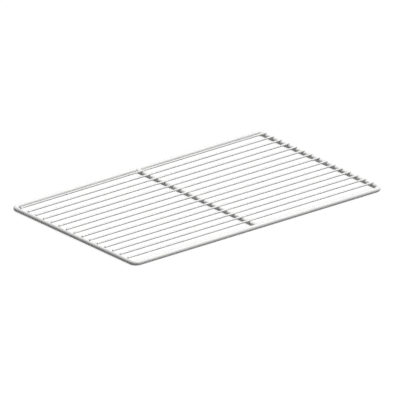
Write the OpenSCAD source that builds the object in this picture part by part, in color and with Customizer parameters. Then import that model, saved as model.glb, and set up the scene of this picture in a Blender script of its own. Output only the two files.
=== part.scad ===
// Plastic-coated wire shelf for an upright or under-counter refrigerator.
// A closed rim of heavy wire and one cross bar of the same wire carry a deck of thin wires.
// The visible diameter of each wire is its steel plus the coat all round.
// X runs along the deck wires, Y across them, and the rim's underside lies on Z = 0.

/* [Shelf] */
// Overall length, along the deck wires
shelf_length = 530; // [300:1:650]
// Overall width, across the deck wires
shelf_width = 325; // [200:1:450]

/* [Heavy wire] */
// Steel diameter of the rim and of the cross bar
heavy_steel_d = 8; // [5:0.1:10]
// Radius on the inner side of the rim's bent corners
corner_inner_r = 6; // [3:0.5:12]

/* [Deck wires] */
// Steel diameter of a deck wire
deck_steel_d = 3; // [2:0.1:5]
// Distance between neighbouring deck wires, centre to centre
deck_pitch = 20; // [12:0.5:30]
// Least distance from a long side of the rim to the outermost deck wire, centre to centre
deck_side_min = 14; // [12:0.5:30]
// How far short of the rim's centre line the deck wires are cut
deck_end_short = 0.2; // [0:0.1:1]
// Radius that the edge of a cut end is rounded to, over the coat
cut_edge_r = 0.6; // [0.3:0.1:1]

/* [Coat] */
// Thickness of the plastic coat on every wire
coat_t = 0.12; // [0.08:0.01:0.4]

/* [Welds] */
// Depth that the steel of a deck wire is pressed into the heavy steel under it
weld_set_down = 0.15; // [0.05:0.05:0.4]
// How far short of the rim's centre line the coped ends of the cross bar are cut
bar_end_short = 1.5; // [1:0.1:2]

/* [Hidden] */
$fn = 64;

// Diameters over the coat
heavy_d = heavy_steel_d + 2 * coat_t;
deck_d = deck_steel_d + 2 * coat_t;

// Centre lines of the rim
rim_span_x = shelf_length - heavy_d;
rim_span_y = shelf_width - heavy_d;
corner_r = corner_inner_r + heavy_d / 2;

// Heights of the centre lines: steel bears on steel at the welds, less their set-down
heavy_z = heavy_d / 2;
deck_z = heavy_z + heavy_steel_d / 2 + deck_steel_d / 2 - weld_set_down;

// The deck: as many wires as the width takes at this pitch, centred between the long sides
deck_count = floor((rim_span_y - 2 * deck_side_min) / deck_pitch) + 1;
deck_wire_l = rim_span_x - 2 * deck_end_short;
bar_l = rim_span_y - 2 * bar_end_short;

function deck_y(i) = (i - (deck_count + 1) / 2) * deck_pitch;
function deck_name(i) = str("deck_wire_", i < 10 ? "0" : "", i);

// Straight wire along X, centred, with square ends
module rod_x(length, d) {
  rotate([0, 90, 0])
    cylinder(h = length, d = d, center = true);
}

// Straight wire along Y, centred, with square ends
module rod_y(length, d) {
  rotate([90, 0, 0])
    cylinder(h = length, d = d, center = true);
}

// Half section of a wire whose two cut ends have rounded edges
module cut_wire_section(length, d, end_r) {
  intersection() {
    translate([0, -length / 2])
      square([d / 2, length]);
    union() {
      translate([0, -length / 2])
        square([d / 2 - end_r, length]);
      translate([0, end_r - length / 2])
        square([d / 2, length - 2 * end_r]);
      for (end = [-1, 1])
        translate([d / 2 - end_r, end * (length / 2 - end_r)])
          circle(r = end_r);
    }
  }
}

// The two long sides of the rim, which the cross bar's ends are coped to
module rim_long_sides() {
  for (side = [-1, 1])
    translate([0, side * rim_span_y / 2, heavy_z])
      rod_x(rim_span_x - 2 * corner_r, heavy_d);
}

// The two short sides of the rim, which carry the ends of the deck wires
module rim_short_sides() {
  for (side = [-1, 1])
    translate([side * rim_span_x / 2, 0, heavy_z])
      rod_y(rim_span_y - 2 * corner_r, heavy_d);
}

// The four bent corners, each a quarter turn of the same wire
module rim_corners() {
  for (turn = [0 : 3]) {
    side_x = (turn == 0 || turn == 3) ? 1 : -1;
    side_y = (turn < 2) ? 1 : -1;
    translate([side_x * (rim_span_x / 2 - corner_r), side_y * (rim_span_y / 2 - corner_r), heavy_z])
      rotate([0, 0, 90 * turn])
        rotate_extrude(angle = 90)
          translate([corner_r, 0])
            circle(d = heavy_d);
  }
}

// One deck wire in its place, also the cutter of the saddles that it is welded into
module deck_wire(i) {
  color("white")
    translate([0, deck_y(i), deck_z])
      rotate([0, 90, 0])
        rotate_extrude()
          cut_wire_section(deck_wire_l, deck_d, cut_edge_r);
}

module deck_wires() {
  for (i = [1 : deck_count])
    deck_wire(i);
}

// The rim: one wire bent round and closed, with a saddle under each end of each deck wire
module rim_wire() {
  color("white")
    difference() {
      union() {
        rim_long_sides();
        rim_short_sides();
        rim_corners();
      }
      deck_wires();
    }
}

// The cross bar: midway, at the rim's height, coped to the long sides and saddled under the deck
module cross_bar() {
  color("white")
    difference() {
      translate([0, 0, heavy_z])
        rod_y(bar_l, heavy_d);
      rim_long_sides();
      deck_wires();
    }
}

rim_wire();
cross_bar();
for (i = [1 : deck_count])
  deck_wire(i);
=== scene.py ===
import math

import bmesh
import bpy
from mathutils import Matrix, Vector


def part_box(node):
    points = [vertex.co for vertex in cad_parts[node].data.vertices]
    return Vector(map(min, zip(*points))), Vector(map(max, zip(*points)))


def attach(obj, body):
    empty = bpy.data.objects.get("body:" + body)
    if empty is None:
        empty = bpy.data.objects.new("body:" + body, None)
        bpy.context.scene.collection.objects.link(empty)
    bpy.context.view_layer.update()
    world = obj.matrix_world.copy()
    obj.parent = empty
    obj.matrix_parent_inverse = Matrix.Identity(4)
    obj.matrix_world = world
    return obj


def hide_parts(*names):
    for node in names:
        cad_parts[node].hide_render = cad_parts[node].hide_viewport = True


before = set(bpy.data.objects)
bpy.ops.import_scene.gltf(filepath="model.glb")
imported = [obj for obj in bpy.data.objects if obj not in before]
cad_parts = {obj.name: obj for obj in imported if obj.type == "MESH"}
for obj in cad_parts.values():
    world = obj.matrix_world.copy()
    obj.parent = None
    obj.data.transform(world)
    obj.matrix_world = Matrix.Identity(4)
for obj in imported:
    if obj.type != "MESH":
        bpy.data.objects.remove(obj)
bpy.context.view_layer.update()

mm = 0.001
mergeDistance = 0.001 * mm    # points closer together than this become one
sharpTurn = math.radians(50)  # only edges hidden inside the wires turn by more than this

deckNames = sorted(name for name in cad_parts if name.startswith("deck_wire"))
print("frame loaded:", len(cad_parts), "wires,", len(deckNames), "of them in the deck")

# Sizes and places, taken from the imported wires
barLow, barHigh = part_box("cross_bar")
deckLow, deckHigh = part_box(deckNames[0])
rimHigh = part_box("rim_wire")[1]
heavyRadius = (barHigh.x - barLow.x) / 2
deckRadius = (deckHigh.z - deckLow.z) / 2
heavyHeight = barHigh.z - heavyRadius
deckHeight = deckHigh.z - deckRadius
deckReach = deckHigh.x               # from the middle to a cut end
rimAlong = rimHigh.x - heavyRadius   # centre line of the short sides
rimAcross = rimHigh.y - heavyRadius  # centre line of the long sides


# The coat's material
coatLook = {
    "white": (0.86, 0.86, 0.85, 1.0),
    "thinWhite": (0.825, 0.828, 0.825, 1.0),  # where the coat lies thinner over the steel
    "roughness": (0.36, 0.48),
    "ior": 1.48,
    "cloudScale": 38.0,         # per metre, slow change of tone along a wire
    "cloudDetail": 3.0,
    "cloudRange": (0.35, 0.6),  # noise values at which the tone is thinWhite and white
    "swellScale": 140.0,        # per metre, slow swells left as the coat flowed
    "swellDetail": 1.0,
    "swellRange": (0.3, 0.7),   # noise values at the two ends of the roughness
    "swellDepth": 0.2 * mm,
    "peelScale": 620.0,         # per metre, the fine orange peel of a coat
    "peelDetail": 2.0,
    "peelDepth": 0.07 * mm,
}


def addNode(tree, kind, place, **settings):
    node = tree.nodes.new(kind)
    node.location = place
    for key, value in settings.items():
        setattr(node, key, value)
    return node


def addNoise(tree, coords, place, scale, detail):
    noise = addNode(tree, "ShaderNodeTexNoise", place)
    noise.inputs["Scale"].default_value = scale
    noise.inputs["Detail"].default_value = detail
    tree.links.new(coords.outputs["Object"], noise.inputs["Vector"])
    return noise.outputs["Fac"]


def addRange(tree, value, place, source, target):
    spread = addNode(tree, "ShaderNodeMapRange", place)
    spread.inputs["From Min"].default_value = source[0]
    spread.inputs["From Max"].default_value = source[1]
    spread.inputs["To Min"].default_value = target[0]
    spread.inputs["To Max"].default_value = target[1]
    tree.links.new(value, spread.inputs["Value"])
    return spread.outputs["Result"]


def addBump(tree, height, place, depth, under=None):
    bump = addNode(tree, "ShaderNodeBump", place)
    bump.inputs["Distance"].default_value = depth
    tree.links.new(height, bump.inputs["Height"])
    if under:
        tree.links.new(under, bump.inputs["Normal"])
    return bump.outputs["Normal"]


def coatMaterial(look):
    material = bpy.data.materials.new("whiteDippedCoat")
    material.use_nodes = True
    tree = material.node_tree
    tree.nodes.clear()
    link = tree.links.new
    coords = addNode(tree, "ShaderNodeTexCoord", (-1200, 0))
    cloud = addNoise(tree, coords, (-900, 250), look["cloudScale"], look["cloudDetail"])
    swell = addNoise(tree, coords, (-900, -250), look["swellScale"], look["swellDetail"])
    peel = addNoise(tree, coords, (-900, -500), look["peelScale"], look["peelDetail"])

    tone = addRange(tree, cloud, (-600, 300), look["cloudRange"], (0.0, 1.0))
    roughness = addRange(tree, swell, (-300, 50), look["swellRange"], look["roughness"])
    swellBump = addBump(tree, swell, (-300, -250), look["swellDepth"])
    peelBump = addBump(tree, peel, (-50, -350), look["peelDepth"], swellBump)
    colour = addNode(tree, "ShaderNodeMix", (-300, 300), data_type="RGBA")
    colour.inputs["A"].default_value = look["thinWhite"]
    colour.inputs["B"].default_value = look["white"]
    link(tone, colour.inputs["Factor"])

    shader = addNode(tree, "ShaderNodeBsdfPrincipled", (200, 0))
    shader.inputs["IOR"].default_value = look["ior"]
    link(colour.outputs["Result"], shader.inputs["Base Color"])
    link(roughness, shader.inputs["Roughness"])
    link(peelBump, shader.inputs["Normal"])
    output = addNode(tree, "ShaderNodeOutputMaterial", (500, 0))
    link(shader.outputs["BSDF"], output.inputs["Surface"])
    return material


coat = coatMaterial(coatLook)
print("coat material made")


def makePiece(bm, name, node):
    for face in bm.faces:
        face.smooth = True
    for edge in bm.edges:
        edge.smooth = edge.calc_face_angle(0) < sharpTurn
    mesh = bpy.data.meshes.new(name)
    bm.to_mesh(mesh)
    bm.free()
    mesh.materials.append(coat)
    piece = bpy.data.objects.new(name, mesh)
    bpy.context.scene.collection.objects.link(piece)
    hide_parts(node)
    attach(piece, "root")


# Rim: one heavy wire, bent at four corners and closed
rimWire = {
    "sides": 64,
    "bendRadius": 10.12 * mm,  # to the wire's centre line
    "bendSteps": 16,
}


def buildRim(rim):
    bm = bmesh.new()
    ring = bmesh.ops.create_circle(bm, segments=rim["sides"], radius=heavyRadius)["verts"]
    bmesh.ops.rotate(bm, verts=ring, matrix=Matrix.Rotation(math.pi / 2, 3, "Y"))
    bmesh.ops.translate(bm, verts=ring, vec=(0, -rimAcross, heavyHeight))
    loop = list(bm.edges)
    bendAlong = rimAlong - rim["bendRadius"]
    bendAcross = rimAcross - rim["bendRadius"]
    runs = [  # each straight run of the wire, and the centre of the bend at its end
        ((bendAlong, 0, 0), (bendAlong, -bendAcross)),
        ((0, 2 * bendAcross, 0), (bendAlong, bendAcross)),
        ((-2 * bendAlong, 0, 0), (-bendAlong, bendAcross)),
        ((0, -2 * bendAcross, 0), (-bendAlong, -bendAcross)),
        ((bendAlong, 0, 0), None),
    ]
    for run, centre in runs:
        grown = bmesh.ops.extrude_edge_only(bm, edges=loop)["geom"]
        ring = [item for item in grown if isinstance(item, bmesh.types.BMVert)]
        loop = [item for item in grown if isinstance(item, bmesh.types.BMEdge)]
        bmesh.ops.translate(bm, verts=ring, vec=run)
        if centre:
            turned = bmesh.ops.spin(bm, geom=ring + loop, cent=(*centre, heavyHeight), axis=(0, 0, 1),
                                    angle=math.pi / 2, steps=rim["bendSteps"], use_merge=False)["geom_last"]
            loop = [item for item in turned if isinstance(item, bmesh.types.BMEdge)]
    bmesh.ops.remove_doubles(bm, verts=bm.verts, dist=mergeDistance)
    bmesh.ops.recalc_face_normals(bm, faces=bm.faces)
    return bm


makePiece(buildRim(rimWire), "rimWire", "rim_wire")
print("rim bent and closed")


# Webs: the small hollows that the coat fills where two wires meet
web = {
    "deckBall": 0.7 * mm,     # a hollow has the form that a ball of this radius leaves
    "barBall": 1.0 * mm,
    "aroundSteps": 56,
    "archSteps": 10,
    "sunk": 0.02 * mm,        # how deep a web's feet lie under the two surfaces
    "deckHeart": 0.3,         # the web's hidden inner edge, as a share of the way out to the ball
    "barHeart": 0.7,          # the same, as a share of the heavy wire's radius
    "halfShift": 0.002 * mm,  # keeps the two halves of a bar web apart where they end at the crown
    "rollReach": 8.0 * mm,    # a ball this far from the crossing is clear of the deck wire
    "rollStop": 0.0001 * mm,  # how closely the ball's place is found
}


def webSection(ball, radius, toFirst, toSecond, heart):
    # The arch from one wire to the other, then back through a point inside them
    arch = [ball + radius * toFirst.slerp(toSecond, step / web["archSteps"], toFirst)
            for step in range(web["archSteps"] + 1)]
    arch[0] += toFirst * web["sunk"]
    arch[-1] += toSecond * web["sunk"]
    return arch + [heart, arch[0]]


def addWeb(bm, sectionAt):
    # Bends a flat sheet into a closed ring, one column of its points to each section
    rows = web["archSteps"] + 2
    sheet = bmesh.ops.create_grid(bm, x_segments=web["aroundSteps"], y_segments=rows, size=1)["verts"]
    sections = [sectionAt(step / web["aroundSteps"]) for step in range(web["aroundSteps"] + 1)]
    for vert in sheet:
        column = round((vert.co.x + 1) / 2 * web["aroundSteps"])
        row = round((vert.co.y + 1) / 2 * rows)
        vert.co = sections[column][row]
    bmesh.ops.remove_doubles(bm, verts=sheet, dist=mergeDistance)
    faces = {face for vert in sheet if vert.is_valid for face in vert.link_faces}
    bmesh.ops.recalc_face_normals(bm, faces=list(faces))


# Cross bar, from one long side of the rim to the other
crossBar = {"sides": 64}


def barWebSection(share, side, half):
    # The bar meets a rim wire of its own size, so the web is widest at mid height and ends at the crown
    turn = math.pi * share
    wide, high = half * math.sin(turn), math.cos(turn)
    radius = web["barBall"]

    def onBoth(distance):
        along = wide * distance
        inward = rimAcross - abs(along)
        return Vector((along + half * web["halfShift"], side * inward, heavyHeight + high * distance))

    ball = onBoth(heavyRadius + radius)
    heart = onBoth(web["barHeart"] * heavyRadius)
    toBar = Vector((-wide, 0, -high))
    toRim = Vector((0, side * abs(wide), -high))
    return webSection(ball, radius, toBar, toRim, heart)


def buildBar(bar):
    bm = bmesh.new()
    bmesh.ops.create_cone(bm, segments=bar["sides"], radius1=heavyRadius, radius2=heavyRadius,
                          depth=2 * rimAcross, cap_ends=True)
    bmesh.ops.rotate(bm, verts=bm.verts, matrix=Matrix.Rotation(math.pi / 2, 3, "X"))
    bmesh.ops.translate(bm, verts=bm.verts, vec=(0, 0, heavyHeight))
    for side in (-1, 1):
        for half in (-1, 1):
            addWeb(bm, lambda share: barWebSection(share, side, half))
    return bm


makePiece(buildBar(crossBar), "crossBar", "cross_bar")
print("cross bar made")


# Deck wires, each with its webs on the rim and on the cross bar
deckWire = {
    "sides": 40,
    "edgeRadius": 0.6 * mm,                 # round edge of the coat over a cut end
    "edgeSteps": 6,
    "crownWidths": (0.35 * mm, 0.35 * mm),  # the coat stands a little proud in the middle of a cut end
    "crownHeights": (0.04 * mm, 0.02 * mm),
    "webInset": 1.2 * mm,                   # from the rim's centre line in to the middle of the web
}


def offWire(point, wire):
    # How far this point lies from the wire's core, the part within the round of its edges
    around = Vector((0, point.y, point.z - deckHeight))
    around.length = max(around.length - (deckRadius - wire["edgeRadius"]), 0)
    past = max(abs(point.x) - (deckReach - wire["edgeRadius"]), 0)
    return around + Vector((math.copysign(past, point.x), 0, 0))


def deckWebSection(share, wire, heavyAlong, middle):
    # Rolls the ball on the heavy wire, out from the crossing, until it clears the deck wire
    turn = 2 * math.pi * share
    radius = web["deckBall"]
    near, far = 0, web["rollReach"]
    while far - near > web["rollStop"]:
        reach = (near + far) / 2
        along = middle + reach * math.cos(turn)
        rise = math.sqrt(max((heavyRadius + radius) ** 2 - (along - heavyAlong) ** 2, 0))
        ball = Vector((along, reach * math.sin(turn), heavyHeight + rise))
        if offWire(ball, wire).length < radius + wire["edgeRadius"]:
            near = reach
        else:
            far = reach
    toWire = -offWire(ball, wire).normalized()
    toHeavy = Vector((heavyAlong - ball.x, 0, heavyHeight - ball.z)).normalized()
    heart = Vector((middle, 0, 0)).lerp(ball, web["deckHeart"])
    heart.z = (deckHeight - deckRadius + heavyHeight + heavyRadius) / 2
    return webSection(ball, radius, toWire, toHeavy, heart)


def buildDeckWire(wire):
    bm = bmesh.new()
    bmesh.ops.create_cone(bm, segments=wire["sides"], radius1=deckRadius, radius2=deckRadius,
                          depth=2 * deckReach, cap_ends=True)
    bmesh.ops.rotate(bm, verts=bm.verts, matrix=Matrix.Rotation(math.pi / 2, 3, "Y"))
    endEdges = [edge for edge in bm.edges if edge.calc_length() < deckReach]
    bmesh.ops.bevel(bm, geom=endEdges, offset=wire["edgeRadius"], offset_type="OFFSET", affect="EDGES",
                    segments=wire["edgeSteps"], profile=0.5, material=-1, clamp_overlap=True)
    ends = [face for face in bm.faces if len(face.verts) == wire["sides"]]
    for width, height in zip(wire["crownWidths"], wire["crownHeights"]):
        bmesh.ops.inset_individual(bm, faces=ends, thickness=width, depth=height, use_even_offset=True)
    bmesh.ops.translate(bm, verts=bm.verts, vec=(0, 0, deckHeight))
    for heavyAlong, inset in ((-rimAlong, wire["webInset"]), (0, 0), (rimAlong, -wire["webInset"])):
        addWeb(bm, lambda share: deckWebSection(share, wire, heavyAlong, heavyAlong + inset))
    return bm


oneWire = buildDeckWire(deckWire)
for number, name in enumerate(deckNames, 1):
    low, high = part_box(name)
    wire = oneWire.copy()
    bmesh.ops.translate(wire, verts=wire.verts, vec=(0, (low.y + high.y) / 2, 0))
    makePiece(wire, f"deckWire.{number:02d}", name)
oneWire.free()
print("deck wires laid")


# Camera, far enough off that nothing is cut, since the view is a parallel one
view = {
    "azimuth": -39.15,
    "elevation": 22.11,
    "width": 658.3 * mm,   # across the square picture
    "aimRight": 4.9 * mm,  # from the rim's centre to the picture's centre
    "aimDown": 2.85 * mm,
    "distance": 1.5,
}


def placeCamera(shot):
    azimuth = math.radians(shot["azimuth"])
    elevation = math.radians(shot["elevation"])
    back = Vector((math.sin(azimuth) * math.cos(elevation), -math.cos(azimuth) * math.cos(elevation),
                   math.sin(elevation)))
    right = Vector((math.cos(azimuth), math.sin(azimuth), 0))
    up = back.cross(right)
    data = bpy.data.cameras.new("viewCamera")
    data.type = "ORTHO"
    data.ortho_scale = shot["width"]
    camera = bpy.data.objects.new("viewCamera", data)
    aim = Vector((0, 0, heavyHeight)) + right * shot["aimRight"] - up * shot["aimDown"]
    camera.location = aim + back * shot["distance"]
    camera.rotation_euler = back.to_track_quat("Z", "Y").to_euler()
    bpy.context.scene.collection.objects.link(camera)
    bpy.context.scene.camera = camera


placeCamera(view)
print("camera placed")


# Studio: one soft key, a dim sky and a pale floor
studio = {
    "keyFrom": (0.25, -0.16, 0.95),  # mostly overhead, a little from the right and the front
    "keyStrength": 3.45,
    "keySpread": 25.0,               # degrees across, for soft shadows
    "skyWhite": (1.0, 1.0, 1.0, 1.0),
    "skyLight": 0.05,
    "floorSize": 8.0,
    "floorPale": (0.86, 0.86, 0.86, 1.0),
    "floorBounce": (0.22, 0.22, 0.22, 1.0),
    "floorGlow": 1.05,
    "glowShare": 0.85,               # the rest of what is seen of the floor takes the shadow
}


def seenDirectly(tree, place):
    # 1 for camera, glossy and transmission rays, so that reflections show the same white ground
    path = addNode(tree, "ShaderNodeLightPath", place)
    first = addNode(tree, "ShaderNodeMath", (place[0] + 200, place[1]), operation="MAXIMUM")
    second = addNode(tree, "ShaderNodeMath", (place[0] + 400, place[1]), operation="MAXIMUM")
    tree.links.new(path.outputs["Is Camera Ray"], first.inputs[0])
    tree.links.new(path.outputs["Is Glossy Ray"], first.inputs[1])
    tree.links.new(first.outputs[0], second.inputs[0])
    tree.links.new(path.outputs["Is Transmission Ray"], second.inputs[1])
    return second.outputs[0]


def addMix(tree, place, first, second):
    mix = addNode(tree, "ShaderNodeMixShader", place)
    tree.links.new(first.outputs[0], mix.inputs[1])
    tree.links.new(second.outputs[0], mix.inputs[2])
    return mix


def lightStudio(setup):
    data = bpy.data.lights.new("softKey", "SUN")
    data.energy = setup["keyStrength"]
    data.angle = math.radians(setup["keySpread"])
    lamp = bpy.data.objects.new("softKey", data)
    lamp.rotation_euler = Vector(setup["keyFrom"]).to_track_quat("Z", "Y").to_euler()
    bpy.context.scene.collection.objects.link(lamp)

    world = bpy.data.worlds.new("studioWorld")
    bpy.context.scene.world = world
    world.use_nodes = True
    tree = world.node_tree
    tree.nodes.clear()
    dim = addNode(tree, "ShaderNodeBackground", (0, -50))
    dim.inputs["Color"].default_value = setup["skyWhite"]
    dim.inputs["Strength"].default_value = setup["skyLight"]
    white = addNode(tree, "ShaderNodeBackground", (0, -200))
    white.inputs["Color"].default_value = setup["skyWhite"]
    sky = addMix(tree, (200, 0), dim, white)
    output = addNode(tree, "ShaderNodeOutputWorld", (400, 0))
    tree.links.new(seenDirectly(tree, (-500, 200)), sky.inputs["Fac"])
    tree.links.new(sky.outputs[0], output.inputs["Surface"])


def layFloor(setup):
    bm = bmesh.new()
    bmesh.ops.create_grid(bm, x_segments=1, y_segments=1, size=setup["floorSize"] / 2)
    mesh = bpy.data.meshes.new("floor")
    bm.to_mesh(mesh)
    bm.free()
    floor = bpy.data.objects.new("floor", mesh)
    bpy.context.scene.collection.objects.link(floor)

    material = bpy.data.materials.new("paleFloor")
    mesh.materials.append(material)
    material.use_nodes = True
    tree = material.node_tree
    tree.nodes.clear()
    bounce = addNode(tree, "ShaderNodeBsdfDiffuse", (0, 0))
    bounce.inputs["Color"].default_value = setup["floorBounce"]
    pale = addNode(tree, "ShaderNodeBsdfDiffuse", (0, -150))
    pale.inputs["Color"].default_value = setup["floorPale"]
    glow = addNode(tree, "ShaderNodeEmission", (0, -300))
    glow.inputs["Strength"].default_value = setup["floorGlow"]
    seen = addMix(tree, (200, -150), pale, glow)
    seen.inputs["Fac"].default_value = setup["glowShare"]
    surface = addMix(tree, (400, 0), bounce, seen)
    output = addNode(tree, "ShaderNodeOutputMaterial", (600, 0))
    tree.links.new(seenDirectly(tree, (-500, 200)), surface.inputs["Fac"])
    tree.links.new(surface.outputs[0], output.inputs["Surface"])


lightStudio(studio)
layFloor(studio)
bpy.context.scene.view_settings.view_transform = "Standard"
print("studio lit")
